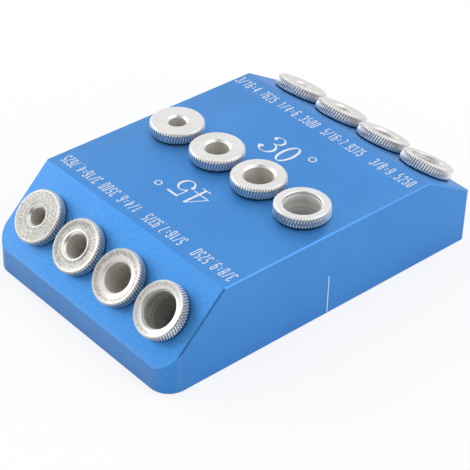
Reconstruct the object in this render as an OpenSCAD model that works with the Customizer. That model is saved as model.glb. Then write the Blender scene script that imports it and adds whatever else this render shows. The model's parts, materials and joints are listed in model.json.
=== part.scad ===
// Pocket hole jig: an anodised aluminium block whose steep, level and shallow faces each
// carry a row of steel drill bushings. Each bushing is a slip fit and lifts out by its head.
// X runs from the steep end to the shallow end, Y away from the largest bushings, and Z up.
// The origin is on the base, half way across, below the row of the level face.

/* [Block] */
// Height of the block
block_h = 25; // [21:0.5:40]
// Length of the level top face, between the two slanted faces
top_l = 69.5; // [50:0.5:140]
// Slant of the steep face, from level
steep_angle = 45; // [40:1:48]
// Slant of the shallow face, from level
shallow_angle = 30; // [20:1:35]
// Width of material left at each side of a row of heads
side_margin = 3.5; // [1:0.25:15]
// Radius of the upright corners at the steep end
steep_corner_r = 5.75; // [1:0.25:8]
// Radius of the upright corners at the shallow end
shallow_corner_r = 1; // [0.5:0.25:3]
// Width of the broken edges along the top and both slanted faces
edge_break = 0.4; // [0.1:0.05:0.8]
// Width of the broken edge all round the base
base_break = 0.15; // [0.05:0.05:0.45]

/* [Rows] */
// Distance from the top edge down the steep face to its row
steep_row_inset = 13.1; // [10:0.1:16]
// Face left between the heads and the low edge of the steep face
steep_lip = 4.85; // [1:0.05:6]
// Distance from the top edge down the shallow face to its row
shallow_row_inset = 11.1; // [9:0.1:16]
// Wall left between the holes and the low edge of the shallow face
shallow_wall = 1.35; // [0.75:0.05:8]
// Gap between neighbouring heads in a row
head_gap = 1.35; // [0.5:0.05:6]
// Height of the lowest corner of a slanted bushing above the base
base_clear = 0.9; // [0.3:0.1:3]

/* [Bushings] */
// Bore for the 3/16 drill
bore_3_16 = 4.76; // [3:0.01:5.5]
// Bore for the 1/4 drill
bore_1_4 = 6.35; // [5:0.01:7.1]
// Bore for the 5/16 drill
bore_5_16 = 7.94; // [6.5:0.01:8.7]
// Bore for the 3/8 drill
bore_3_8 = 9.52; // [9:0.01:11]
// Wall of the sleeve round the largest bore
sleeve_wall = 1.24; // [0.8:0.02:2]
// Width that a head stands out past its sleeve
head_flange = 1.5; // [1:0.1:3]
// Thickness of a head
head_t = 3.25; // [2:0.05:5]
// Bevel round the top of a head
head_bevel = 0.4; // [0.1:0.05:0.6]
// Bevel round the underside of a head
seat_bevel = 0.3; // [0.1:0.05:0.6]
// Number of teeth in the knurl round a head
knurl_teeth = 60; // [40:2:72]
// Depth of the knurl
knurl_depth = 0.35; // [0.1:0.05:0.5]
// Bevel at the mouth of the three smaller bores
mouth_bevel = 0.55; // [0.2:0.05:0.8]
// Bevel at the mouth of the largest bore
wide_mouth_bevel = 0.2; // [0.1:0.05:0.35]
// Depth of the flared lead-in at the mouth of the largest bore
lead_in_depth = 1.1; // [0.5:0.1:1.8]
// Width of the step that the lead-in leaves round the largest bore
lead_in_step = 0.15; // [0.05:0.05:0.25]
// How much wider the lead-in is at its mouth than at its step
lead_in_flare = 0.1; // [0.05:0.05:0.2]
// Bevel round the low end of a sleeve
tip_bevel = 0.4; // [0.1:0.05:0.7]

/* [Fits] */
// Gap all round between a sleeve and its hole
sleeve_clear = 0.05; // [0.01:0.01:0.1]
// Bevel at the mouth of each hole in the block, under the head
hole_bevel = 0.5; // [0.1:0.05:0.8]

/* [Hidden] */
$fn = 96;
// How far a cut runs past the faces that it opens
overrun = 1;

// The bushings, from the far side of a row to the near side
bores = [bore_3_16, bore_1_4, bore_5_16, bore_3_8];
last = len(bores) - 1;
sleeve_r = bore_3_8 / 2 + sleeve_wall;
head_r = sleeve_r + head_flange;
hole_r = sleeve_r + sleeve_clear;
pitch = 2 * head_r + head_gap;
block_w = last * pitch + 2 * head_r + 2 * side_margin;

// The two slanted faces, and where they end
steep_face_l = steep_row_inset + head_r + steep_lip;
shallow_face_l = shallow_row_inset + hole_r + shallow_wall;
steep_end_x = -top_l / 2 - steep_face_l * cos(steep_angle);
steep_end_h = block_h - steep_face_l * sin(steep_angle);
shallow_end_x = top_l / 2 + shallow_face_l * cos(shallow_angle);
shallow_end_h = block_h - shallow_face_l * sin(shallow_angle);
block_l = shallow_end_x - steep_end_x;

// The rows: how each one leans towards +X, and the middle of its line of holes
STEEP = 0;
LEVEL = 1;
SHALLOW = 2;
row_tilts = [-steep_angle, 0, shallow_angle];
row_xs = [
    -top_l / 2 - steep_row_inset * cos(steep_angle),
    0,
    top_l / 2 + shallow_row_inset * cos(shallow_angle)
];
row_zs = [
    block_h - steep_row_inset * sin(steep_angle),
    block_h,
    block_h - shallow_row_inset * sin(shallow_angle)
];

// All sleeves have the length at which the lowest corner of any row stays clear of the base
function sleeve_room(row) =
    (row_zs[row] - base_clear - sleeve_r * sin(abs(row_tilts[row]))) / cos(row_tilts[row]);
sleeve_l = min([for (row = [STEEP : SHALLOW]) sleeve_room(row)]);

// Length of a hole from its face to the far side of its mouth in the base
function hole_l(row) =
    row_zs[row] / cos(row_tilts[row]) + hole_r * tan(abs(row_tilts[row]));

// Puts its children on a face, with Z along the hole and Z = 0 on the face
module on_face(row, column) {
    translate([row_xs[row], (last / 2 - column) * pitch, row_zs[row]])
        rotate([0, row_tilts[row], 0])
            children();
}

// Outline of the block from above, with its rounded upright corners
module plan() {
    reach = block_w / 2;
    mid_from = steep_end_x + steep_corner_r;
    mid_to = shallow_end_x - shallow_corner_r;
    translate([mid_from, -reach])
        square([mid_to - mid_from, block_w]);
    translate([steep_end_x, steep_corner_r - reach])
        square([2 * steep_corner_r, block_w - 2 * steep_corner_r]);
    translate([mid_to - shallow_corner_r, shallow_corner_r - reach])
        square([2 * shallow_corner_r, block_w - 2 * shallow_corner_r]);
    for (side = [-1, 1]) {
        translate([mid_from, side * (reach - steep_corner_r)])
            circle(steep_corner_r);
        translate([mid_to, side * (reach - shallow_corner_r)])
            circle(shallow_corner_r);
    }
}

// Outline of the block from the near side
module profile() {
    polygon([
        [steep_end_x, 0],
        [shallow_end_x, 0],
        [shallow_end_x, shallow_end_h],
        [top_l / 2, block_h],
        [-top_l / 2, block_h],
        [steep_end_x, steep_end_h]
    ]);
}

// Mirrors its children to the near side when side is -1
module on_side(side) {
    mirror([0, side < 0 ? 1 : 0, 0])
        children();
}

// Waste along an edge that runs in X at Y = 0, Z = 0, with the block below and behind it
module edge_waste(width, from, to) {
    reach = width + overrun;
    translate([from, 0, 0])
        rotate([90, 0, 90])
            linear_extrude(height = to - from)
                polygon([[-reach, overrun], [overrun, -reach], [overrun, overrun]]);
}

// Breaks both side edges of a face that starts at (x, z) and leans by tilt towards +X
module side_breaks(width, x, z, tilt, from, to) {
    for (side = [-1, 1])
        on_side(side)
            translate([x, block_w / 2, z])
                rotate([0, tilt, 0])
                    edge_waste(width, from, to);
}

// Waste round the foot of one upright corner of radius r, at x, on the far side of the block
module corner_break(x, r, inward) {
    reach = r + overrun;
    translate([x + inward * r, block_w / 2 - r, 0])
        intersection() {
            difference() {
                translate([0, 0, -overrun])
                    cylinder(r = reach, h = base_break + overrun);
                translate([0, 0, -2 * overrun])
                    cylinder(r = r - base_break, h = 3 * overrun);
                cylinder(r1 = r - base_break, r2 = r + overrun, h = base_break + overrun);
            }
            mirror([inward > 0 ? 1 : 0, 0, 0])
                translate([0, 0, -overrun])
                    cube(reach + overrun);
        }
}

// Breaks the edge all round the base
module base_breaks() {
    mirror([0, 0, 1])
        side_breaks(base_break, 0, 0, 0, steep_end_x - overrun, shallow_end_x + overrun);
    for (end = [[steep_end_x, 90], [shallow_end_x, -90]])
        translate([end[0], 0, 0])
            mirror([0, 0, 1])
                rotate([0, 0, end[1]])
                    edge_waste(base_break, -block_w / 2, block_w / 2);
    for (side = [-1, 1])
        on_side(side) {
            corner_break(steep_end_x, steep_corner_r, 1);
            corner_break(shallow_end_x, shallow_corner_r, -1);
        }
}

// A hole right through the block, beveled at its mouth
module hole(row) {
    translate([0, 0, -hole_l(row) - overrun])
        cylinder(r = hole_r, h = hole_l(row) + 2 * overrun);
    translate([0, 0, -hole_bevel])
        cylinder(r1 = hole_r, r2 = hole_r + hole_bevel + overrun, h = hole_bevel + overrun);
}

module block() {
    color([0.24, 0.53, 0.87])
        difference() {
            intersection() {
                rotate([90, 0, 0])
                    linear_extrude(height = block_w + 2 * overrun, center = true)
                        profile();
                translate([0, 0, -overrun])
                    linear_extrude(height = block_h + 2 * overrun)
                        plan();
            }
            side_breaks(edge_break, 0, block_h, 0, -top_l / 2, top_l / 2);
            side_breaks(edge_break, -top_l / 2, block_h, -steep_angle, -steep_face_l - overrun, 0);
            side_breaks(edge_break, top_l / 2, block_h, shallow_angle, 0, shallow_face_l + overrun);
            base_breaks();
            for (row = [STEEP : SHALLOW], column = [0 : last])
                on_face(row, column)
                    hole(row);
        }
}

// Straight knurl: a ring of pointed teeth that run the full thickness of the head
module knurl() {
    linear_extrude(height = head_t)
        polygon([for (i = [0 : 2 * knurl_teeth - 1])
            (head_r - (i % 2) * knurl_depth)
                * [cos(180 * i / knurl_teeth), sin(180 * i / knurl_teeth)]]);
}

// The space that the bevels leave a head, which opens past its teeth
module head_envelope() {
    rotate_extrude()
        polygon([
            [0, 0],
            [head_r - seat_bevel, 0],
            [head_r + overrun, seat_bevel + overrun],
            [head_r + overrun, head_t - head_bevel - overrun],
            [head_r - head_bevel, head_t],
            [0, head_t]
        ]);
}

// The plain round sleeve below a head
module sleeve() {
    rotate_extrude()
        polygon([
            [0, -sleeve_l],
            [sleeve_r - tip_bevel, -sleeve_l],
            [sleeve_r, -sleeve_l + tip_bevel],
            [sleeve_r, 0],
            [0, 0]
        ]);
}

// The bore, with its mouth. The largest bore starts with a shallow flared lead-in.
module bore(column) {
    r = bores[column] / 2;
    wide = column == last;
    step_r = r + lead_in_step;
    mouth_r = wide ? step_r + lead_in_flare : r;
    bevel = wide ? wide_mouth_bevel : mouth_bevel;
    translate([0, 0, -sleeve_l - overrun])
        cylinder(r = r, h = sleeve_l + head_t + 2 * overrun);
    translate([0, 0, head_t - bevel])
        cylinder(r1 = mouth_r, r2 = mouth_r + bevel + overrun, h = bevel + overrun);
    if (wide)
        translate([0, 0, head_t - lead_in_depth])
            cylinder(r1 = step_r, r2 = mouth_r, h = lead_in_depth - bevel);
}

// One drill bushing, seated on its face
module bushing(row, column) {
    color([0.80, 0.80, 0.80])
        on_face(row, column)
            difference() {
                union() {
                    intersection() {
                        knurl();
                        head_envelope();
                    }
                    sleeve();
                }
                bore(column);
            }
}

block();
bushing(STEEP, 0);  // bushing_45deg_3_16
bushing(STEEP, 1);  // bushing_45deg_1_4
bushing(STEEP, 2);  // bushing_45deg_5_16
bushing(STEEP, 3);  // bushing_45deg_3_8
bushing(LEVEL, 0);  // bushing_90deg_3_16
bushing(LEVEL, 1);  // bushing_90deg_1_4
bushing(LEVEL, 2);  // bushing_90deg_5_16
bushing(LEVEL, 3);  // bushing_90deg_3_8
bushing(SHALLOW, 0);  // bushing_30deg_3_16
bushing(SHALLOW, 1);  // bushing_30deg_1_4
bushing(SHALLOW, 2);  // bushing_30deg_5_16
bushing(SHALLOW, 3);  // bushing_30deg_3_8
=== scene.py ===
import json
import math

import bmesh
import bpy
import numpy as np
from mathutils import Matrix, Vector
from mathutils.geometry import delaunay_2d_cdt


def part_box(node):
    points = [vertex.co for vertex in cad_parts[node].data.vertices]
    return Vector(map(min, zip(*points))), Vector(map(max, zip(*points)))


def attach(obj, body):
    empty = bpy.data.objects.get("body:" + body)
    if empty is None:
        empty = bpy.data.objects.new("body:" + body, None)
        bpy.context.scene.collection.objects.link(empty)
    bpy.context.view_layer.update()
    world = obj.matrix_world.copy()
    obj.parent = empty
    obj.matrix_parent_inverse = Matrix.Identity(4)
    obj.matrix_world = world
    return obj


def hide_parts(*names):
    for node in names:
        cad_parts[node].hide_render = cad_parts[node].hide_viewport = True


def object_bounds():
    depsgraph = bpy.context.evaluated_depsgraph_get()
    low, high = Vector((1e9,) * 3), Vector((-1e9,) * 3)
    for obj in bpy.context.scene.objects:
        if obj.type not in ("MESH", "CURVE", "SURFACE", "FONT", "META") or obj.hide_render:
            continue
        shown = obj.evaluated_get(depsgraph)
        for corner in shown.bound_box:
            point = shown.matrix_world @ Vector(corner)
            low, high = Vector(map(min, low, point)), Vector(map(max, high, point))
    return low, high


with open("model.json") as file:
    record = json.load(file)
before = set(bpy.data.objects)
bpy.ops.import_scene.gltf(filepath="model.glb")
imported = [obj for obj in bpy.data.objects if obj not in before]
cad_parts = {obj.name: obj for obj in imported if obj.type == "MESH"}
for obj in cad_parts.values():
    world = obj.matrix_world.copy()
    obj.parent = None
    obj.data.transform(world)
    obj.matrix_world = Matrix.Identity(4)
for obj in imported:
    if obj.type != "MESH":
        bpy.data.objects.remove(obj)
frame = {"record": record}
cad_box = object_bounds()
mm = 0.001

# A pocket hole jig: an anodised block that holds twelve knurled steel drill bushings. The camera
# looks at its steep end and near side from well above, as the photograph does, from a place that
# was found by laying the block's own edges over those in the picture.
sensor_mm = 36
picture_px = 470
focal_px = 1730.3
camera_azimuth, camera_elevation, camera_roll = np.radians((-41.788, 36.071, -1.557))
camera_at = np.array((-247.24, -276.34, 274.58)) * mm
nearest_seen = 10 * mm

forward = np.array((
    -math.sin(camera_azimuth) * math.cos(camera_elevation),
    math.cos(camera_azimuth) * math.cos(camera_elevation),
    -math.sin(camera_elevation),
))
level_right = np.cross(forward, (0, 0, 1))
level_right /= np.linalg.norm(level_right)
level_down = np.cross(forward, level_right)
right = math.cos(camera_roll) * level_right + math.sin(camera_roll) * level_down
up = np.cross(right, forward)

camera_lens = bpy.data.cameras.new("camera")
camera_lens.sensor_width = sensor_mm
camera_lens.lens = focal_px * sensor_mm / picture_px
camera_lens.clip_start = nearest_seen
camera = bpy.data.objects.new("camera", camera_lens)
bpy.context.scene.collection.objects.link(camera)
camera.matrix_world = Matrix((
    (right[0], up[0], -forward[0], camera_at[0]),
    (right[1], up[1], -forward[1], camera_at[1]),
    (right[2], up[2], -forward[2], camera_at[2]),
    (0, 0, 0, 1),
))
bpy.context.scene.camera = camera
bpy.context.scene.view_settings.view_transform = "Standard"

# The studio is a plain white table in a white room. One large soft lamp hangs behind the jig on the
# left, and one before it on the right. The table is dim under the jig. Metal reflects the darker
# side of the room, behind the camera, and a shade on the table round the jig's foot.
room_light = 0.68
dark_side = (-0.55, -0.75, 0.30)
dark_from = 0.45
dark_full = 0.85
dark_depth = 0.75
table_reach = 3.0
table_gap = 0.1 * mm
table_grey = (0.86, 0.86, 0.86, 1)
glow_strength = 1.06
table_white_share = 0.72
hidden_share = 0.4
footprint_inset = 2 * mm
shaded_share = 0.1
shade_reach = 18 * mm
white = (1, 1, 1, 1)


def feed(tree, socket, value):
    """Joins a socket to another one, or writes a plain value into it."""
    if isinstance(value, bpy.types.NodeSocket):
        tree.links.new(value, socket)
    else:
        socket.default_value = value


def add_node(tree, kind, **inputs):
    """Adds one shader node and feeds its named inputs."""
    node = tree.nodes.new(kind)
    for name, value in inputs.items():
        feed(tree, node.inputs[name.replace("_", " ")], value)
    return node


def calculate(tree, operation, *values):
    """A math node's result, from values or sockets in order."""
    node = tree.nodes.new("ShaderNodeMath")
    node.operation = operation
    for socket, value in zip(node.inputs, values):
        feed(tree, socket, value)
    return node.outputs[0]


def spread(tree, value, low, high, to_low, to_high):
    """Carries a value from one range to another, and holds it at the ends."""
    return add_node(
        tree, "ShaderNodeMapRange", Value=value,
        From_Min=low, From_Max=high, To_Min=to_low, To_Max=to_high,
    ).outputs["Result"]


def sees_white(tree):
    """One for what the camera sees straight, in metal or through glass, and zero for other light."""
    path = tree.nodes.new("ShaderNodeLightPath")
    seen = calculate(tree, "MAXIMUM", path.outputs["Is Camera Ray"], path.outputs["Is Glossy Ray"])
    return calculate(tree, "MAXIMUM", seen, path.outputs["Is Transmission Ray"])


room = bpy.data.worlds.new("white_room")
room.use_nodes = True
room.node_tree.nodes.clear()
room_tree = room.node_tree
looking = room_tree.nodes.new("ShaderNodeTexCoord").outputs["Generated"]
towards_dark = room_tree.nodes.new("ShaderNodeVectorMath")
towards_dark.operation = "DOT_PRODUCT"
room_tree.links.new(looking, towards_dark.inputs[0])
towards_dark.inputs[1].default_value = Vector(dark_side).normalized()
dark_share = spread(room_tree, towards_dark.outputs["Value"], dark_from, dark_full, 0.0, dark_depth)
room_path = room_tree.nodes.new("ShaderNodeLightPath")
dark_in_metal = calculate(room_tree, "MULTIPLY", room_path.outputs["Is Glossy Ray"], dark_share)
room_level = spread(room_tree, sees_white(room_tree), 0.0, 1.0, room_light, 1.0)
room_strength = calculate(room_tree, "SUBTRACT", room_level, dark_in_metal)
room_walls = add_node(room_tree, "ShaderNodeBackground", Color=white, Strength=room_strength)
add_node(room_tree, "ShaderNodeOutputWorld", Surface=room_walls.outputs[0])
bpy.context.scene.world = room

table_ways = ((-1, -1), (1, -1), (1, 1), (-1, 1))
table_corners = [(x * table_reach, y * table_reach, -table_gap) for x, y in table_ways]
table_mesh = bpy.data.meshes.new("table")
table_mesh.from_pydata(table_corners, [], [(0, 1, 2, 3)])
table = bpy.data.objects.new("table", table_mesh)
bpy.context.scene.collection.objects.link(table)
table_paint = bpy.data.materials.new("white_table")
table_paint.use_nodes = True
table_tree = table_paint.node_tree
table_tree.nodes.clear()
table_cover = add_node(table_tree, "ShaderNodeBsdfDiffuse", Color=table_grey)
table_glow = add_node(table_tree, "ShaderNodeEmission", Color=white, Strength=glow_strength)
table_point = table_tree.nodes.new("ShaderNodeTexCoord").outputs["Object"]
table_place = add_node(table_tree, "ShaderNodeSeparateXYZ", Vector=table_point)
past_sides = []
for axis, half_length in (("X", cad_box[1].x), ("Y", cad_box[1].y)):
    out = calculate(table_tree, "ABSOLUTE", table_place.outputs[axis])
    past_sides.append(calculate(table_tree, "SUBTRACT", out, half_length - footprint_inset))
past_jig = calculate(table_tree, "MAXIMUM", *past_sides)
clear_of_jig = calculate(table_tree, "GREATER_THAN", past_jig, 0.0)
clear_share = calculate(table_tree, "MULTIPLY_ADD", clear_of_jig, 1 - hidden_share, hidden_share)
foot_shade = spread(table_tree, past_jig, 0.0, shade_reach, 1 - shaded_share, 0.0)
table_path = table_tree.nodes.new("ShaderNodeLightPath")
shade_in_metal = calculate(table_tree, "MULTIPLY", table_path.outputs["Is Glossy Ray"], foot_shade)
unshaded = calculate(table_tree, "SUBTRACT", 1.0, shade_in_metal)
table_white = calculate(table_tree, "MULTIPLY", sees_white(table_tree), table_white_share)
table_white = calculate(table_tree, "MULTIPLY", table_white, clear_share)
table_white = calculate(table_tree, "MULTIPLY", table_white, unshaded)
table_look = add_node(table_tree, "ShaderNodeMixShader", Fac=table_white)
table_tree.links.new(table_cover.outputs[0], table_look.inputs[1])
table_tree.links.new(table_glow.outputs[0], table_look.inputs[2])
add_node(table_tree, "ShaderNodeOutputMaterial", Surface=table_look.outputs[0])
table_mesh.materials.append(table_paint)


def soft_lamp(name, direction, distance, size, watts):
    """A square area lamp that hangs in a direction from the jig and points at it."""
    light = bpy.data.lights.new(name, "AREA")
    light.size = size
    light.energy = watts
    lamp = bpy.data.objects.new(name, light)
    bpy.context.scene.collection.objects.link(lamp)
    towards = Vector(direction).normalized()
    lamp.location = towards * distance
    lamp.rotation_euler = towards.to_track_quat("Z", "Y").to_euler()
    lamp.visible_camera = False


soft_lamp("left_lamp", (-0.26, 0.91, 0.31), distance=1.1, size=1.0, watts=5.4)
soft_lamp("right_lamp", (0.35, -0.75, 0.62), distance=1.35, size=2.0, watts=9.0)

# The block is one bar of aluminium. It is sawn and milled to its two slants, drilled square to
# each face, bead blasted, anodised blue, and has its top edges broken by a small chamfer.
block_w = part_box("block")[1].y * 2
block_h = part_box("block")[1].z
steep_end_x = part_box("block")[0].x
shallow_end_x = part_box("block")[1].x
steep_corner_r = 5.75 * mm
shallow_corner_r = 1 * mm
edge_break = 0.4 * mm
base_break = 0.15 * mm
hole_r = 6.05 * mm
hole_bevel = 0.5 * mm
steep_corner_steps = 24
shallow_corner_steps = 10
hole_steps = 120
keep_inside = 1
same_point = 1e-7
weld_gap = 0.002 * mm
sharp_edge = math.radians(30)

X, Y, Z = np.eye(3)
mounts = {mount["name"]: mount for mount in frame["record"]["mounts"]}
row_names = ("45deg", "90deg", "30deg")
size_names = ("3_16", "1_4", "5_16", "3_8")


def row_face(row):
    """A row's face: its outward direction, the direction along it towards +X, and its tilt."""
    outward = np.array(mounts[f"bore_{row}_3_16"]["axis"])
    along = np.cross(Y, outward)
    return outward, along, math.atan2(outward[0], outward[2])


def face_height(row, x):
    """Height of a row's plane above the base at x: it falls off with the slope of the face."""
    seat = mounts[f"bore_{row}_3_16"]["pos_m"]
    return seat[2] - (x - seat[0]) * math.tan(row_face(row)[2])


def ridge_x(row, drop=0.0):
    """Where a slanted plane meets the level one, each lowered by drop along its own normal."""
    tilt = row_face(row)[2]
    seat = mounts[f"bore_{row}_3_16"]["pos_m"]
    return seat[0] + (seat[2] - drop / math.cos(tilt) - block_h + drop) / math.tan(tilt)


def roof_height(x, drop=0.0):
    """Height of the lowest of the three planes at x, each lowered by drop along its normal."""
    return np.min([face_height(row, x) - drop / math.cos(row_face(row)[2]) for row in row_names], axis=0)


def skirt_columns():
    """The columns of the block's sides, anticlockwise from above: x, y, and one where on an arc.

    Straight stretches have a column at each ridge. A corner arc has one where the edge break dies out,
    which is where the arc has left the side by the width of the break.
    """
    half = block_w / 2
    columns = []
    for r, centre_x, steps, first in (
        (shallow_corner_r, shallow_end_x - shallow_corner_r, shallow_corner_steps, -90),
        (shallow_corner_r, shallow_end_x - shallow_corner_r, shallow_corner_steps, 0),
        (steep_corner_r, steep_end_x + steep_corner_r, steep_corner_steps, 90),
        (steep_corner_r, steep_end_x + steep_corner_r, steep_corner_steps, 180),
    ):
        fade = math.degrees(math.acos(1 - edge_break / r))
        near_steps = max(2, round(steps * fade / 90))
        turn = np.r_[np.linspace(0, fade, near_steps), np.linspace(fade, 90, steps - near_steps + 1)[1:]]
        if first in (0, 180):
            turn = 90 - turn[::-1]
        angle = np.radians(first + turn)
        centre_y = (half - r) * (1 if first in (0, 90) else -1)
        arc = np.c_[centre_x + r * np.cos(angle), centre_y + r * np.sin(angle), np.ones(len(angle))]
        columns.append(arc)
        if first in (0, 180):
            side = 1 if first == 0 else -1
            ridges = [ridge_x("30deg", edge_break), ridge_x("45deg", edge_break)]
            columns.append(np.array([(x, side * half, 0) for x in (ridges if side > 0 else ridges[::-1])]))
    return np.concatenate(columns)


columns = skirt_columns()
column_x, column_y, on_arc = columns.T
half_w = block_w / 2
side_of = np.sign(column_y)
inset = half_w - np.abs(column_y)
break_left = np.clip(edge_break - inset, 0, None)
is_ridge = on_arc == 0
face_x = np.where(is_ridge & (column_x < 0), ridge_x("45deg"), column_x)
face_x = np.where(is_ridge & (column_x > 0), ridge_x("30deg"), face_x)


def plan_inset(distance):
    """The outline of the block from above, drawn in by a distance all round: arcs keep their centres."""
    r = np.where(column_x < 0, steep_corner_r, shallow_corner_r)
    centre_x = np.where(column_x < 0, steep_end_x + steep_corner_r, shallow_end_x - shallow_corner_r)
    centre = np.c_[centre_x, side_of * (half_w - r)]
    out = np.c_[column_x, column_y] - centre
    drawn = centre + out * (1 - distance / r)[:, None]
    straight = np.c_[column_x, column_y - side_of * distance]
    return np.where(is_ridge[:, None], straight, drawn)


foot_loop = np.c_[plan_inset(base_break), np.zeros(len(columns))]
low_loop = np.c_[column_x, column_y, np.full(len(columns), base_break)]
high_loop = np.c_[column_x, column_y, roof_height(column_x, break_left)]
face_y = side_of * np.minimum(np.abs(column_y), half_w - edge_break)
face_loop = np.c_[face_x, face_y, roof_height(face_x)]


def strip(lower, upper, smooth, closed=True):
    """A band of four-sided faces between two lines of points, facing out when they run anticlockwise."""
    n = len(lower)
    k = np.arange(n if closed else n - 1)
    faces = np.c_[k, (k + 1) % n, (k + 1) % n + n, k + n]
    return np.concatenate((lower, upper)), faces, np.broadcast_to(smooth, len(faces))


def flat_patch(origin, along, across, outline, holes=(), marks=(), depth=0.0):
    """Fills a flat outline, leaving its holes open and sinking its marks into it by a depth.

    The outline, holes and marks are flattened to two axes and cut into triangles together. A triangle
    inside any mark is moved down, and each edge between a sunk and an unsunk triangle gets a wall.
    Returns the patch, and the sunk triangles with the loops round them, for the paint.
    """
    axes = np.array((along, across))
    points = [(np.asarray(loop) - origin) @ axes.T / mm for loop in (outline, *holes)]
    points += [np.asarray(mark) / mm for mark in marks]
    starts = np.cumsum([0] + [len(loop) for loop in points])
    loops = [list(range(a, b)) for a, b in zip(starts, starts[1:])]
    flat = [Vector(p) for p in np.concatenate(points)]
    found, _, triangles, _, _, inside = delaunay_2d_cdt(flat, [], loops, keep_inside, same_point)
    kept, sunk = [], []
    for triangle, owners in zip(triangles, inside):
        if 0 not in owners or any(0 < owner <= len(holes) for owner in owners):
            continue
        (sunk if any(owner > len(holes) for owner in owners) else kept).append(triangle)
    top = origin + np.array(found) * mm @ axes
    normal = np.cross(along, across)
    kept = np.array(kept)
    if not sunk:
        return (top, kept, np.zeros(len(kept), bool)), None
    sunk = np.array(sunk)
    edges = np.concatenate((sunk[:, [0, 1]], sunk[:, [1, 2]], sunk[:, [2, 0]]))
    code = edges[:, 0] * len(top) + edges[:, 1]
    rim = edges[~np.isin(edges[:, 1] * len(top) + edges[:, 0], code)]
    n = len(top)
    floor = top - normal * depth
    walls = np.c_[rim[:, 0], rim[:, 1], rim[:, 1] + n, rim[:, 0] + n]
    faces = [*kept.tolist(), *(sunk + n).tolist(), *walls.tolist()]
    patch = (np.concatenate((top, floor)), faces, np.zeros(len(faces), bool))
    return patch, (top, sunk, rim, normal)


def join_patches(name, patches):
    """Makes one object of surface patches, with the points that meet merged and loose ones dropped."""
    points, faces, smooth = [], [], []
    count = 0
    for patch_points, patch_faces, patch_smooth in patches:
        points.append(patch_points)
        faces += [[int(i) + count for i in face] for face in patch_faces]
        smooth.append(patch_smooth)
        count += len(patch_points)
    mesh = bpy.data.meshes.new(name)
    mesh.from_pydata(np.concatenate(points).tolist(), [], faces)
    mesh.polygons.foreach_set("use_smooth", np.concatenate(smooth))
    work = bmesh.new()
    work.from_mesh(mesh)
    bmesh.ops.remove_doubles(work, verts=work.verts, dist=weld_gap)
    bmesh.ops.delete(work, geom=[v for v in work.verts if not v.link_faces], context="VERTS")
    work.to_mesh(mesh)
    work.free()
    mesh.set_sharp_from_angle(angle=sharp_edge)
    made = bpy.data.objects.new(name, mesh)
    bpy.context.scene.collection.objects.link(made)
    return made


def hole_rings(row, size):
    """The three rings of one drilled hole: its mouth on the face, the foot of its bevel, and its exit.

    Each ring is a circle about the hole's axis. The exit is that circle carried on along the axis
    down to the base, which makes it an ellipse where the hole leans.
    """
    outward, along, _ = row_face(row)
    seat = np.array(mounts[f"bore_{row}_{size}"]["pos_m"])
    angle = np.linspace(0, 2 * math.pi, hole_steps, endpoint=False)[:, None]
    spoke = np.cos(angle) * along + np.sin(angle) * Y
    mouth = seat + spoke * (hole_r + hole_bevel)
    throat = seat + spoke * hole_r - outward * hole_bevel
    exit_ring = throat - outward * (throat[:, 2:] / outward[2])
    return mouth, throat, exit_ring


def round_corners(points, r, steps=7):
    """A line with each inner corner replaced by a quadratic curve that starts and ends r from it."""
    points = np.asarray(points, float)
    rounded = [points[0]]
    for before, corner, after in zip(points, points[1:], points[2:]):
        reach = [min(r, np.linalg.norm(end - corner) / 2) for end in (before, after)]
        start = corner + (before - corner) * reach[0] / np.linalg.norm(before - corner)
        end = corner + (after - corner) * reach[1] / np.linalg.norm(after - corner)
        t = np.linspace(0, 1, steps)[:, None]
        rounded.extend((1 - t) ** 2 * start + 2 * t * (1 - t) * corner + t ** 2 * end)
    return np.array([*rounded, points[-1]])


def stroke(line, width, thin=None):
    """The outline of a pen stroke: the line moved aside by half its width, there and back.

    With a thin width given, the stroke is thin where it runs across and full where it runs up,
    in step with the square of its upward share.
    """
    line = np.asarray(line, float)
    way = np.gradient(line, axis=0)
    way /= np.linalg.norm(way, axis=1)[:, None]
    widths = width if thin is None else thin + (width - thin) * way[:, 1:] ** 2
    aside = np.c_[-way[:, 1], way[:, 0]] * widths / 2
    return np.concatenate((line - aside, (line + aside)[::-1]))


def oval(x, y, rx, ry, start, end, steps=36):
    """Part of an oval round (x, y): half widths rx and ry, from one angle in degrees to another."""
    angle = np.radians(np.linspace(start, end, steps))
    return np.c_[x + rx * np.cos(angle), y + ry * np.sin(angle)]


def dot(x, y, r):
    """A filled disc."""
    return oval(x, y, r, r, 0, 350)


# The marks are engraved a little way into the block's faces and filled with white paint. The two
# large angle numbers have thick and thin strokes, and the size labels are narrow, with strokes of
# one width. Strokes, letters and their places are in millimetres here until on_top scales them.
mark_depth = 0.14 * mm
paint_below = 0.03 * mm
ring_stroke = 0.38
label_stroke = 0.31
label_height = 3.7
label_letter_w = 1.02
letter_rows = 4
label_corner = 0.42
line_w = 0.3
line_top = 11.8
line_foot = 0.3
half_turns = ((-2, 182), (178, 362))

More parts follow.
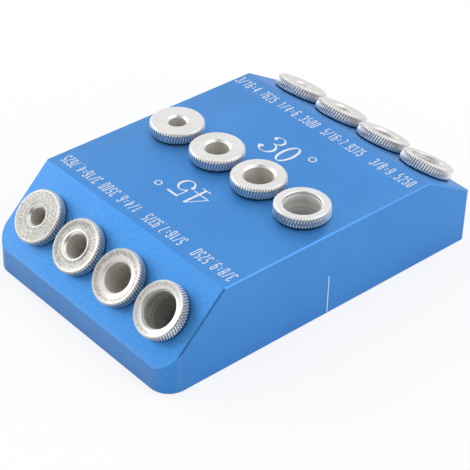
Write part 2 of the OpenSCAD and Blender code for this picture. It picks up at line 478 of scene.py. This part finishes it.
big_three = [
    dot(0.78, 6.82, 0.56),
    stroke(oval(2.2, 6.48, 1.9, 1.68, 165, -88), 0.8, 0.28),
    stroke(oval(2.2, 2.42, 2.36, 2.28, 96, -168), 0.86, 0.3),
    dot(0.68, 1.75, 0.6),
]
big_nought = [stroke(oval(8.3, 4.165, 1.82, 4.0, *ends), 0.82, 0.34) for ends in half_turns]
big_four = [
    stroke([(3.55, 7.75), (0.2, 2.66)], 0.34),
    stroke([(0.05, 2.57), (5.57, 2.57)], 0.36),
    stroke([(3.67, 0.2), (3.67, 7.84)], 0.74),
    stroke([(1.95, 0.17), (5.1, 0.17)], 0.34),
]
big_five = [
    stroke([(6.66, 7.32), (10.67, 7.32)], 0.7),
    stroke([(6.85, 3.75), (6.85, 7.6)], 0.36),
    stroke(oval(8.72, 2.5, 2.05, 2.3, 152, -168), 0.82, 0.32),
    dot(6.72, 2.12, 0.56),
]


def degree_ring(x, y, r):
    """The degree sign: a ring of an outer radius, in two halves that overlap."""
    middle_r = r - ring_stroke / 2
    return [stroke(oval(x, y, middle_r, middle_r, *ends), ring_stroke) for ends in half_turns]


letter_lines = {
    "0": [[(0.5, 0), (1, 0), (1, 4), (0.5, 4)], [(0.5, 4), (0, 4), (0, 0), (0.5, 0)]],
    "1": [[(0.1, 3.2), (0.62, 3.95)], [(0.62, 4.05), (0.62, -0.05)]],
    "2": [[(0, 3.1), (0, 4), (1, 4), (1, 2.7), (0.05, 0.1)], [(-0.1, 0), (1.05, 0)]],
    "3": [
        [(0, 3.2), (0, 4), (1, 4), (1, 2.15), (0.35, 2.15)],
        [(0.35, 2.15), (1, 2.15), (1, 0), (0, 0), (0, 0.8)],
    ],
    "4": [[(0.78, -0.05), (0.78, 4.05)], [(0.74, 4), (0, 1.15)], [(-0.05, 1.1), (1.1, 1.1)]],
    "5": [
        [(1, 4), (0.05, 4)], [(0.12, 4.05), (0.12, 2.1)],
        [(0.1, 2.4), (1, 2.4), (1, 0), (0, 0), (0, 0.8)],
    ],
    "6": [[(1, 3.3), (1, 4), (0, 4), (0, 0), (0.5, 0)], [(0.5, 0), (1, 0), (1, 2.35), (0, 2.35)]],
    "7": [[(-0.05, 4), (1.05, 4)], [(1, 4), (0.38, -0.05)]],
    "8": [
        [(0.5, 2.15), (0, 2.15), (0, 4), (0.5, 4)], [(0.5, 4), (1, 4), (1, 2.15), (0.5, 2.15)],
        [(0.5, 2.15), (0, 2.15), (0, 0), (0.5, 0)], [(0.5, 0), (1, 0), (1, 2.15), (0.5, 2.15)],
    ],
    "9": [[(0, 0.7), (0, 0), (1, 0), (1, 4), (0.5, 4)], [(0.5, 4), (0, 4), (0, 1.65), (1, 1.65)]],
    "/": [[(0, -0.1), (1, 4.1)]],
    "=": [[(0, 1.4), (1, 1.4)], [(0, 2.5), (1, 2.5)]],
    ".": [[(0.5, -0.2), (0.5, 0.2)]],
}


def label(text, length):
    """A line of narrow letters that fills a length: each has its own cell of equal width."""
    pitch = (length - label_letter_w) / (len(text) - 1)
    scale = np.array((label_letter_w - label_stroke, (label_height - label_stroke) / letter_rows))
    outlines = []
    for place, letter in enumerate(text):
        for line in letter_lines[letter]:
            points = np.array(line) * scale + (place * pitch + label_stroke / 2, label_stroke / 2)
            outlines.append(stroke(round_corners(points, label_corner), label_stroke))
    return outlines


def on_top(outlines, foot_x, start_y, facing):
    """Lays outlines on the level face, to be read from the 45 degree end (facing 1) or the other (-1).

    Along the line becomes -Y and up becomes +X from the given foot and start, or both the other way.
    """
    return [np.c_[foot_x + facing * o[:, 1], start_y - facing * o[:, 0]] * mm for o in outlines]


thirty_degrees = [*big_three, *big_nought, *degree_ring(14.23, 7.5, 1.2)]
forty_five_degrees = [*big_four, *big_five, *degree_ring(14.4, 7.23, 1.12)]
top_marks = [
    *on_top(thirty_degrees, foot_x=11.17, start_y=5.83, facing=1),
    *on_top(forty_five_degrees, foot_x=-11.93, start_y=-5.67, facing=-1),
]
far_label_x = 28.8
near_label_x = -28.85
for text, far_start, far_end, near_start, near_end in (
    ("3/16=4.7625", 34.5, 19.3, 18.7, 33.0),
    ("1/4=6.3500", 17.5, 2.8, 2.3, 16.8),
    ("5/16=7.9375", 0.0, -14.8, -15.3, -0.8),
    ("3/8=9.5250", -18.7, -33.2, -33.9, -19.7),
):
    top_marks += on_top(label(text, far_start - far_end), far_label_x, far_start, 1)
    top_marks += on_top(label(text, near_end - near_start), near_label_x, near_start, -1)
side_mark = [stroke([(0, line_foot), (0, line_top)], line_w) * mm]


# The block's skin is one closed mesh of patches: a foot, the sides, the broken edge, the lining of
# each hole, three faces with their holes and marks, and the base. They are merged where they meet.
def column_range(first, last):
    """Column numbers from first to last, going on past the end of the list to its start."""
    n = len(columns)
    return [k % n for k in range(first % n, first % n + (last - first) % n + 1)]


def facing_in(band):
    """The same band with its faces turned over, so that they look into the hole it lines."""
    points, faces, smooth = band
    return points, faces[:, ::-1], smooth


far_30, far_45, near_45, near_30 = np.flatnonzero(is_ridge)
shallow_end = column_range(near_30 + 1, far_30 - 1)
steep_end = column_range(far_45 + 1, near_45 - 1)
patches = [
    strip(foot_loop, low_loop, True),
    strip(low_loop[shallow_end], high_loop[shallow_end], True, False),
    strip(low_loop[steep_end], high_loop[steep_end], True, False),
    strip(high_loop, face_loop, False),
]
paints = []
drilled = {(row, size): hole_rings(row, size) for row in row_names for size in size_names}
for mouth, throat, exit_ring in drilled.values():
    patches.append(facing_in(strip(exit_ring, throat, True)))
    patches.append(facing_in(strip(throat, mouth, True)))
face_columns = {
    "45deg": column_range(far_45, near_45),
    "90deg": [far_30, far_45, near_45, near_30],
    "30deg": column_range(near_30, far_30),
}
for row, numbers in face_columns.items():
    _, along, _ = row_face(row)
    seat = np.array(mounts[f"bore_{row}_3_16"]["pos_m"]) * (1, 0, 1)
    mouths = [drilled[row, size][0] for size in size_names]
    marks = top_marks if row == "90deg" else []
    patch, paint = flat_patch(seat, along, Y, face_loop[numbers], mouths, marks, mark_depth)
    patches.append(patch)
    paints.append(paint)
exits = [drilled[row, size][2][::-1] for row in row_names for size in size_names]
patches.append(flat_patch(np.zeros(3), X, -Y, foot_loop[::-1], exits)[0])
near_side = column_range(near_45 - 1, near_30 + 1)
far_side = column_range(far_30 - 1, far_45 + 1)
for side, numbers in ((-1, near_side), (1, far_side)):
    outline = np.concatenate((low_loop[numbers], high_loop[numbers][::-1]))
    patch, paint = flat_patch(side * Y * half_w, -side * X, Z, outline, [], side_mark, mark_depth)
    patches.append(patch)
    paints.append(paint)

block = join_patches("anodised_block", patches)
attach(block, "block")
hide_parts("block")


def fades_in(tree, value, none, full):
    """Zero up to a value, and one from a second."""
    return spread(tree, value, none, full, 0.0, 1.0)


def fades_out(tree, value, full, none):
    """One up to a value, and zero from a second."""
    return spread(tree, value, full, none, 1.0, 0.0)


def centred(tree, value, amount):
    """A noise value taken round zero and scaled by an amount, which may itself be a socket."""
    return calculate(tree, "MULTIPLY", calculate(tree, "SUBTRACT", value, 0.5), amount)


def noise(tree, place, scale, detail, roughness=0.5):
    """A soft random value round one half, with so many lumps to each unit of the place it reads."""
    return add_node(
        tree, "ShaderNodeTexNoise", Vector=place, Scale=scale, Detail=detail, Roughness=roughness,
    ).outputs["Fac"]


def ramp(tree, factor, stops):
    """A colour that runs through the given stops, each a position and a linear colour."""
    node = add_node(tree, "ShaderNodeValToRGB", Fac=factor)
    while len(node.color_ramp.elements) < len(stops):
        node.color_ramp.elements.new(0.5)
    for element, (position, colour) in zip(node.color_ramp.elements, stops):
        element.position = position
        element.color = (*colour, 1)
    return node.outputs["Color"]


def blended(tree, share, colour, other, way="MIX"):
    """One colour with a share of another laid over it, or multiplied into it."""
    node = tree.nodes.new("ShaderNodeMix")
    node.data_type = "RGBA"
    node.blend_type = way
    for number, value in ((0, share), (6, colour), (7, other)):
        feed(tree, node.inputs[number], value)
    return node.outputs[2]


grain_per_m = 2900
clouds_per_m = 60
cloud_ends = (0.3, 0.7)
blue_stops = (
    (0.1, (0.029, 0.207, 0.572)),
    (0.5, (0.050, 0.272, 0.686)),
    (0.9, (0.083, 0.343, 0.768)),
)
middle_tone = 0.5
grain_tone = 1.6
cloud_tone = 0.5
calm_grain = 0.25
ridge_soft = 0.2 * mm
grain_bump_share = 0.6
grain_bump_h = 0.02 * mm
# Painted light: a grey sheen mixed into the blue on the steep end's wall and, fainter, towards the far
# side.
painted_sheen_grey = (0.32, 0.35, 0.38, 1)
painted_sheen_patches = (0.7, 1.3)
end_painted_sheen = 0.14
end_painted_sheen_from = 0.05 * mm
end_painted_sheen_to = 1 * mm
back_painted_sheen = 0.06
back_painted_sheen_y = (8 * mm, 32 * mm)
edge_shares = (0.75, 0.6)
edge_skins = (0.03 * mm, 0.01 * mm)
edge_grey = (0.42, 0.42, 0.44, 1)
edge_pale = 0.09
edge_smoother = 0.14
edge_more_metal = 0.2
block_roughness = (0.46, 0.54)
block_metal = 0.75
coat_share = 0.2
coat_roughness = 0.35
mill_ring_scale = 260
mill_ring_wobble = 0.6
mill_shift = (0.085, 0.012, 0)
mill_bump_share = 0.6
mill_bump_h = 0.05 * mm
mill_bump_z = (0.02 * mm, 0.12 * mm)


def anodised_finish():
    """Blue anodised aluminium: a ramp of blues over blast grain plus soft clouds.

    The grain is full on the steep face and its end, and calm beyond the ridge. A painted grey sheen,
    a painted reflection, lies on the wall of the steep end, and a fainter painted light on the far
    part. The broken long edges are paler, smoother and more like bare metal. The base alone has the
    rings of the cutter, as a bump.
    """
    material = bpy.data.materials.new("blue_anodised_aluminium")
    material.use_nodes = True
    tree = material.node_tree
    tree.nodes.clear()
    place = tree.nodes.new("ShaderNodeTexCoord").outputs["Object"]
    x, y, z = add_node(tree, "ShaderNodeSeparateXYZ", Vector=place).outputs
    out_y = calculate(tree, "ABSOLUTE", y)
    edge_part = calculate(
        tree, "MULTIPLY",
        fades_in(tree, out_y, *[half_w - share * edge_break for share in edge_shares]),
        fades_out(tree, out_y, *[half_w - skin for skin in edge_skins]),
    )
    ridge = ridge_x("45deg")
    steep_part = fades_out(tree, x, ridge - ridge_soft, ridge + ridge_soft)
    grain_share = calculate(tree, "MULTIPLY_ADD", steep_part, 1 - calm_grain, calm_grain)
    grain = noise(tree, place, grain_per_m, detail=3.0, roughness=0.6)
    clouds = noise(tree, place, clouds_per_m, detail=3.0)

    grain_step = centred(tree, grain, grain_share)
    tone = calculate(tree, "MULTIPLY_ADD", grain_step, grain_tone, middle_tone)
    tone = calculate(tree, "ADD", tone, centred(tree, clouds, cloud_tone))
    # Painted reflection: a grey sheen on the steep end's wall, and a fainter painted light towards the far
    # side, in cloudy patches.
    painted_sheen = calculate(
        tree, "MAXIMUM",
        spread(tree, x, steep_end_x + end_painted_sheen_from, steep_end_x + end_painted_sheen_to, end_painted_sheen, 0.0),
        spread(tree, y, *back_painted_sheen_y, 0.0, back_painted_sheen),
    )
    painted_sheen = calculate(tree, "MULTIPLY", painted_sheen, spread(tree, clouds, *cloud_ends, *painted_sheen_patches))
    colour = blended(tree, painted_sheen, ramp(tree, tone, blue_stops), painted_sheen_grey)
    colour = blended(tree, calculate(tree, "MULTIPLY", edge_part, edge_pale), colour, edge_grey)

    roughness = calculate(
        tree, "SUBTRACT", spread(tree, clouds, *cloud_ends, *block_roughness),
        calculate(tree, "MULTIPLY", edge_part, edge_smoother),
    )
    grain_strength = calculate(
        tree, "MULTIPLY", calculate(tree, "MULTIPLY", grain_share, grain_bump_share),
        calculate(tree, "SUBTRACT", 1.0, edge_part),
    )
    grain_bump = add_node(
        tree, "ShaderNodeBump", Strength=grain_strength, Distance=grain_bump_h, Height=grain,
    )
    mill_place = tree.nodes.new("ShaderNodeVectorMath")
    feed(tree, mill_place.inputs[0], place)
    feed(tree, mill_place.inputs[1], mill_shift)
    mill_marks = add_node(
        tree, "ShaderNodeTexWave", Vector=mill_place.outputs[0],
        Scale=mill_ring_scale, Distortion=mill_ring_wobble, Detail=2.0,
    )
    mill_marks.wave_type = "RINGS"
    mill_marks.rings_direction = "Z"
    mill_bump = add_node(
        tree, "ShaderNodeBump", Strength=spread(tree, z, *mill_bump_z, mill_bump_share, 0.0),
        Distance=mill_bump_h, Height=mill_marks.outputs["Fac"], Normal=grain_bump.outputs["Normal"],
    )
    metal = add_node(
        tree, "ShaderNodeBsdfPrincipled", Base_Color=colour, Roughness=roughness,
        Metallic=calculate(tree, "MULTIPLY_ADD", edge_part, edge_more_metal, block_metal),
        Coat_Weight=coat_share, Coat_Roughness=coat_roughness, Normal=mill_bump.outputs["Normal"],
    )
    add_node(tree, "ShaderNodeOutputMaterial", Surface=metal.outputs[0])
    return material


block.data.materials.append(anodised_finish())

# The paint in the marks is one closed solid for each engraved face. Its top lies a little below
# the metal, as wiped paint dries, and it is white with faint specks.
paint_grain_per_m = 1800
paint_stops = (
    (0.3, (0.70, 0.73, 0.78)),
    (0.5, (0.86, 0.88, 0.9)),
    (0.8, (0.93, 0.94, 0.95)),
)
paint_roughness = 0.6
paint_bump_share = 0.3
paint_bump_h = 0.02 * mm
paint_names = ("top_numbers", "near_centre_line", "far_centre_line")


def paint_finish():
    """White paint: a ramp of whites over fine specks, which also make its bump."""
    material = bpy.data.materials.new("white_mark_paint")
    material.use_nodes = True
    tree = material.node_tree
    tree.nodes.clear()
    place = tree.nodes.new("ShaderNodeTexCoord").outputs["Object"]
    specks = noise(tree, place, paint_grain_per_m, detail=3.0, roughness=0.6)
    bump = add_node(
        tree, "ShaderNodeBump", Strength=paint_bump_share, Distance=paint_bump_h, Height=specks,
    )
    paint = add_node(
        tree, "ShaderNodeBsdfPrincipled", Base_Color=ramp(tree, specks, paint_stops),
        Roughness=paint_roughness, Normal=bump.outputs["Normal"],
    )
    add_node(tree, "ShaderNodeOutputMaterial", Surface=paint.outputs[0])
    return material


white_paint = paint_finish()
for name, (top, sunk, rim, normal) in zip(paint_names, [paint for paint in paints if paint]):
    n = len(top)
    solid = np.concatenate((top - normal * paint_below, top - normal * mark_depth))
    walls = np.c_[rim[:, 1], rim[:, 0], rim[:, 0] + n, rim[:, 1] + n]
    faces = [*sunk.tolist(), *(sunk[:, ::-1] + n).tolist(), *walls.tolist()]
    filling = join_patches(name, [(solid, faces, np.zeros(len(faces), bool))])
    filling.data.materials.append(white_paint)
    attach(filling, "block")

# The bushings are turned from steel bar. A diamond knurl is rolled round each head, deeper one way
# than the other on most. The mouth of the bore is eased, a plain sleeve goes down into the block,
# and a small relief under the head is painted nearly black, as painted shade under the head.
sleeve_r = 6 * mm
sleeve_l = 14.98 * mm
head_r = 7.5 * mm
head_t = 3.25 * mm
rim_w = 0.58 * mm
rim_h = 0.42 * mm
relief_w = 0.45 * mm
relief_h = 0.28 * mm
knurl_teeth = 60
tooth_steps = 8
knurl_depth = 0.36 * mm
knurl_lean = math.radians(12)
back_cut = 0.45
full_diamond = {"45deg_3_8": math.radians(26), "90deg_3_8": math.radians(18)}
turned_edge = math.radians(26)
tip_bevel = 0.4 * mm
mouth_bevel = 0.58 * mm
wide_mouth_bevel = 0.22 * mm
mouth_corner = 0.07 * mm
lead_in_depth = 1.1 * mm
lead_in_step = 0.15 * mm
lead_in_flare = 0.1 * mm
rim_round = 0.12 * mm
edge_round = 0.06 * mm
# The level of grit per row is partly the heads' gritty finish and partly painted shade: the 45 degree row
# is made darker, the level row lighter.
row_grit_and_shade = {"45deg": 0.9, "90deg": 0.14, "30deg": 0.45}
mouth_grit = 0.1
bore_grit = 0.6
bore_r = dict(zip(size_names, np.array((4.7625, 6.35, 7.9375, 9.525)) / 2 * mm))
face_cuts = {
    "plain": ((0, 0, 0.5), (0.08, 0, 1.1), (0.92, 0, 1.1), (1, 0, 0.5)),
    "dished": ((0, 0, 1), (0.04, -0.03, 1), (0.5, -0.06, 1), (0.96, -0.03, 1), (1, 0, 1)),
    "coned": ((0, -0.5, 0.5), (0.35, -0.34, 0.8), (0.6, -0.19, 1.1), (0.9, -0.04, 1), (1, 0, 0.4)),
    "grooved": (
        (0, -0.01, 0.3), (0.1, -0.02, 0.5), (0.2, -0.28, 1),
        (0.6, -0.22, 1.1), (0.9, -0.03, 1), (1, 0, 0.55),
    ),
    "lined": ((0, -0.36, 0.4), (0.3, -0.26, 0.6), (0.5, -0.17, 0.9), (0.9, -0.03, 0.8), (1, 0, 0.4)),
}
face_cut_of = {"45deg_1_4": "grooved", "45deg_5_16": "coned", "45deg_3_8": "lined", "45deg_3_16": "plain"}


def bushing_lines(row, size):
    """Two lines of the cut through one side: foot of the bore to the rim, and seat to foot.

    The knurled side joins them. The face between the mouth and the rim follows its cut in face_cuts:
    shares of its width, each with a height in millimetres and a share of grit. The third result
    has those radii and shares of grit.
    """
    r = bore_r[size]
    wide = size == "3_8"
    rim_r = head_r - rim_w
    cut = np.array(face_cuts[face_cut_of.get(f"{row}_{size}", "dished")])
    lead_in = [(r, head_t - lead_in_depth), (r + lead_in_step, head_t - lead_in_depth)] if wide else []
    mouth_r = r + lead_in_step + lead_in_flare if wide else r
    bevel = wide_mouth_bevel if wide else mouth_bevel
    face = np.c_[mouth_r + bevel + (rim_r - mouth_r - bevel) * cut[:, 0], head_t + cut[:, 1] * mm]
    bore = round_corners([(r, -sleeve_l), *lead_in, (mouth_r, face[0, 1] - bevel)], edge_round, steps=3)
    mouth = round_corners([bore[-1] - (0, mouth_corner), bore[-1], face[0], face[1]], mouth_corner, steps=5)
    over = np.concatenate((bore[:-1], mouth[:-1], round_corners(face, rim_round, steps=4)[1:]))
    foot = [
        (head_r - relief_w, relief_h), (head_r - relief_w, 0), (sleeve_r, 0),
        (sleeve_r, -sleeve_l + tip_bevel), (sleeve_r - tip_bevel, -sleeve_l), (r, -sleeve_l),
    ]
    return over, round_corners(foot, edge_round, steps=3)[:-1], (face[:, 0], cut[:, 2])


def knurled_side(angle, lean, back):
    """The side of the head as heights and, for each angle, radii: a knurl between two bevels.

    A diamond knurl is two families of V grooves that lean to either side. A groove's depth is a
    triangle wave, in angle plus height for one family and in angle less height for the other, whose
    depth is the share back of the first. The deeper of the two is cut. The rows are spaced so that
    both families pass through the grid's own corners.
    """
    tooth_w = 2 * math.pi * head_r / knurl_teeth
    rise = tooth_w / math.tan(lean) / tooth_steps
    height = head_t - rise * np.arange(1, math.ceil((head_t - relief_h) / rise))
    turn = (angle * knurl_teeth / (2 * math.pi))[:, None]
    climb = np.arange(1, len(height) + 1)[None] / tooth_steps
    first, second = [1 - np.abs(1 - 2 * ((turn + way * climb) % 1)) for way in (1, -1)]
    radius = head_r - knurl_depth * np.maximum(first, back * second)
    upper = head_r - rim_w + (head_t - height) * rim_w / rim_h
    lower = head_r - relief_w + (height - relief_h)
    return height, np.minimum(radius, np.minimum(upper, lower)[None])


def bushing_mesh(row, size):
    """One bushing: its cut swept round the hole's axis, with the knurl between the rim and the seat.

    A point lies at the seat, plus its radius along the spoke at its angle, plus its height along the
    axis. The faces of the knurl are split the way its grooves lean. The points keep their place round
    the axis, the way along the cut and their share of grit, which per row also carries painted shade,
    as attributes, for the finish.
    """
    outward, along, _ = row_face(row)
    seat = np.array(mounts[f"bore_{row}_{size}"]["pos_m"])
    turns = knurl_teeth * tooth_steps
    angle = 2 * math.pi * np.arange(turns) / turns
    over, under, (face_r, face_grit) = bushing_lines(row, size)
    lean = full_diamond.get(f"{row}_{size}", knurl_lean)
    back = 1.0 if f"{row}_{size}" in full_diamond else back_cut
    height, radius = knurled_side(angle, lean, back)
    side = np.stack((radius, np.broadcast_to(height, radius.shape)), axis=2)
    over_round, under_round = [np.broadcast_to(line, (turns, *line.shape)) for line in (over, under)]
    cut = np.concatenate((over_round, side, under_round), axis=1)
    n = cut.shape[1]
    spoke = np.cos(angle)[:, None] * along + np.sin(angle)[:, None] * Y
    points = seat + cut[:, :, :1] * spoke[:, None] + cut[:, :, 1:] * outward
    across, aside = cut[:, :, 0] * np.cos(angle)[:, None], cut[:, :, 0] * np.sin(angle)[:, None]
    turned = np.stack((across, aside, cut[:, :, 1]), axis=2) / mm
    cut_way = np.roll(points, -1, axis=1) - np.roll(points, 1, axis=1)
    cut_way /= np.linalg.norm(cut_way, axis=2)[:, :, None]

    a, k = np.meshgrid(np.arange(turns), np.arange(n), indexing="ij")
    b, m = (a + 1) % turns, (k + 1) % n
    corners = np.stack((a * n + k, a * n + m, b * n + m, b * n + k), axis=2)
    row_number = k - len(over) + 1
    knurled = (row_number >= 0) & (row_number < len(height))
    leaning = (a + row_number + 1) % (tooth_steps // 2) == 0
    quads = corners[~knurled].tolist()
    rising, falling = corners[knurled & leaning], corners[knurled & ~leaning]
    triangles = np.concatenate((
        rising[:, [0, 1, 3]], rising[:, [1, 2, 3]], falling[:, [0, 1, 2]], falling[:, [0, 2, 3]],
    ))
    name = f"{row}_{size}_drill_bushing"
    mesh = bpy.data.meshes.new(name)
    mesh.from_pydata(points.reshape(-1, 3).tolist(), [], quads + triangles.tolist())
    mesh.polygons.foreach_set("use_smooth", np.ones(len(mesh.polygons), bool))

    known_r = np.r_[bore_r[size], bore_r[size] + mouth_corner, face_r]
    known_grit = np.r_[bore_grit, mouth_grit, face_grit]
    grit = np.full(n, mouth_grit)
    grit[:len(over)] = np.interp(over[:, 0], known_r, known_grit, right=mouth_grit)
    for title, kind, channel, values in (
        ("turned", "FLOAT_VECTOR", "vector", turned.ravel()),
        ("cut_way", "FLOAT_VECTOR", "vector", cut_way.ravel()),
        ("grit", "FLOAT", "value", np.tile(row_grit_and_shade[row] * grit, turns)),
    ):
        mesh.attributes.new(title, kind, "POINT").data.foreach_set(channel, values)
    mesh.set_sharp_from_angle(angle=turned_edge)
    return bpy.data.objects.new(name, mesh)


# The parts of a bushing, told by millimetres from its axis and above its seat, each from where it
# starts to fade to where it is gone or full.
bore_radii = (5.2, 5.3)
bore_top = (2.55, 2.8)
wide_bore_radii = (4.3, 4.5)
knurl_radii = (7.05, 7.1)
knurl_top = (3.0, 3.1)
crest_radii = (7.2, 7.42)
relief_radii = (6.3, 6.5)
relief_top = (0.26, 0.34)
sleeve_radii = (5.5, 5.6)
sleeve_top = (-0.1, 0.0)

rings_per_mm = 4.5
specks_per_m = 3000
stains_per_m = 170
stain_ends = (0.35, 0.65)
stained_grit = (0.85, 1.15)
steel_stops = (
    (0.0, (0.012, 0.014, 0.02)),
    (0.03, (0.17, 0.165, 0.15)),
    (0.35, (0.53, 0.52, 0.49)),
    (0.6, (0.75, 0.745, 0.735)),
    (0.9, (0.87, 0.87, 0.875)),
)
clean_tone = 0.76
grit_tone = -0.55
ring_tone = 0.45
stain_tone = 0.4
speck_tone = 0.1
gritty_speck_tone = 1.3
# Painted highlight on the knurl's crests and painted shade in its grooves.
knurl_painted_light_and_shade = (-0.38, 0.35)
# The bores are painted lighter, as painted light down the hole, the widest bores less so.
bore_painted_light = 0.33
bore_ring_tone = 0.8
wide_bore_painted_light = -0.4
least_tone = 0.05
# Painted shade: the relief under each head is made nearly black.
relief_painted_shade = -2.0
# A warm tint in the bores: a painted reflection, mostly left off the widest bores.
bore_painted_reflection_tint = (1.0, 0.97, 0.91, 1)
wide_bore_without_painted_reflection = 0.9
steel_roughness = 0.28
grit_roughness = 0.12
speck_roughness = 0.15
knurl_roughness = 0.1
bore_roughness = 0.3
sleeve_roughness = -0.06
cut_stretch = 0.35
ring_bump = 0.8
speck_bump = 0.1
gritty_speck_bump = 0.9
steel_bump_share = 0.5
smooth_bump_share = -0.4
steel_bump_h = 0.02 * mm


def steel_finish():
    """Turned steel: a ramp of greys over a tone, with a gloss that is drawn out along the cut.

    The tone adds turning rings, stains and specks to a clean level. Grit, kept on the mesh, darkens
    it and makes the specks coarser, and per row its level is partly painted shade. Knurl crests are
    lighter as a painted highlight and the grooves darker as painted shade. Bores are lighter as painted
    light and have a warm painted reflection, the widest bores less so, and the relief under the head is
    nearly black as painted shade. The same noises make the roughness and the bump.
    """
    material = bpy.data.materials.new("turned_steel")
    material.use_nodes = True
    tree = material.node_tree
    tree.nodes.clear()
    place = tree.nodes.new("ShaderNodeTexCoord").outputs["Object"]
    turned, cut_way, kept_grit_and_shade = [tree.nodes.new("ShaderNodeAttribute") for _ in range(3)]
    turned.attribute_name = "turned"
    cut_way.attribute_name = "cut_way"
    kept_grit_and_shade.attribute_name = "grit"
    x, y, height = add_node(tree, "ShaderNodeSeparateXYZ", Vector=turned.outputs["Vector"]).outputs
    from_axis = tree.nodes.new("ShaderNodeVectorMath")
    from_axis.operation = "LENGTH"
    feed(tree, from_axis.inputs[0], add_node(tree, "ShaderNodeCombineXYZ", X=x, Y=y).outputs[0])
    radius = from_axis.outputs["Value"]

    def both(share, other):
        """Where two shares hold together: their product."""
        return calculate(tree, "MULTIPLY", share, other)

    in_bore = both(fades_out(tree, radius, *bore_radii), fades_out(tree, height, *bore_top))
    in_wide_bore = both(in_bore, fades_in(tree, radius, *wide_bore_radii))
    in_knurl = both(fades_in(tree, radius, *knurl_radii), fades_out(tree, height, *knurl_top))
    in_relief = both(fades_in(tree, radius, *relief_radii), fades_out(tree, height, *relief_top))
    on_sleeve = both(fades_in(tree, radius, *sleeve_radii), fades_out(tree, height, *sleeve_top))

    ring_place = add_node(tree, "ShaderNodeCombineXYZ", X=radius, Y=height).outputs[0]
    ring_noise = noise(tree, ring_place, rings_per_mm, detail=4.0, roughness=0.7)
    specks = noise(tree, place, specks_per_m, detail=3.0, roughness=0.65)
    stains = noise(tree, place, stains_per_m, detail=3.0)
    stain_share = spread(tree, stains, *stain_ends, *stained_grit)
    # The grit darkens the tone, and per row its level is partly painted shade.
    grit = calculate(tree, "MULTIPLY", kept_grit_and_shade.outputs["Fac"], stain_share)

    def total(*terms):
        """The sum of some terms, added in the order given."""
        found = terms[0]
        for term in terms[1:]:
            found = calculate(tree, "ADD", found, term)
        return found

    # Painted light in this tone: a highlight on the knurl's crests, shade in its grooves, and a lighter
    # tone down the bores.
    tone = total(
        centred(tree, ring_noise, ring_tone),
        centred(tree, stains, stain_tone),
        centred(tree, specks, calculate(tree, "MULTIPLY_ADD", grit, gritty_speck_tone, speck_tone)),
        calculate(tree, "MULTIPLY_ADD", grit, grit_tone, clean_tone),
        both(in_knurl, spread(tree, radius, *crest_radii, *knurl_painted_light_and_shade)),
        both(in_bore, centred(tree, ring_noise, bore_ring_tone)),
        both(in_bore, bore_painted_light),
        both(in_wide_bore, wide_bore_painted_light),
    )
    # The relief under the head is painted nearly black, as painted shade under the head.
    tone = total(calculate(tree, "MAXIMUM", tone, least_tone), both(in_relief, relief_painted_shade))
    # The bores' warm tint is a painted reflection, mostly left off the widest ones.
    painted_reflection_share = calculate(tree, "SUBTRACT", in_bore, both(in_wide_bore, wide_bore_without_painted_reflection))
    colour = blended(tree, painted_reflection_share, ramp(tree, tone, steel_stops), bore_painted_reflection_tint, "MULTIPLY")
    roughness = total(
        calculate(tree, "MULTIPLY_ADD", grit, grit_roughness, steel_roughness),
        centred(tree, specks, speck_roughness),
        both(in_knurl, knurl_roughness),
        both(in_bore, bore_roughness),
        both(on_sleeve, sleeve_roughness),
    )
    bump_height = total(
        centred(tree, ring_noise, ring_bump),
        centred(tree, specks, calculate(tree, "MULTIPLY_ADD", grit, gritty_speck_bump, speck_bump)),
    )
    smoothed = both(calculate(tree, "MAXIMUM", in_knurl, on_sleeve), smooth_bump_share)
    bump = add_node(
        tree, "ShaderNodeBump", Strength=total(smoothed, steel_bump_share),
        Distance=steel_bump_h, Height=bump_height,
    )
    metal = add_node(
        tree, "ShaderNodeBsdfPrincipled", Base_Color=colour, Metallic=1.0, Roughness=roughness,
        Anisotropic=cut_stretch, Tangent=cut_way.outputs["Vector"], Normal=bump.outputs["Normal"],
    )
    add_node(tree, "ShaderNodeOutputMaterial", Surface=metal.outputs[0])
    return material


steel = steel_finish()
for row in row_names:
    for size in size_names:
        bushing = bushing_mesh(row, size)
        bpy.context.scene.collection.objects.link(bushing)
        bushing.data.materials.append(steel)
        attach(bushing, f"bushing_{row}_{size}")
        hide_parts(f"bushing_{row}_{size}")
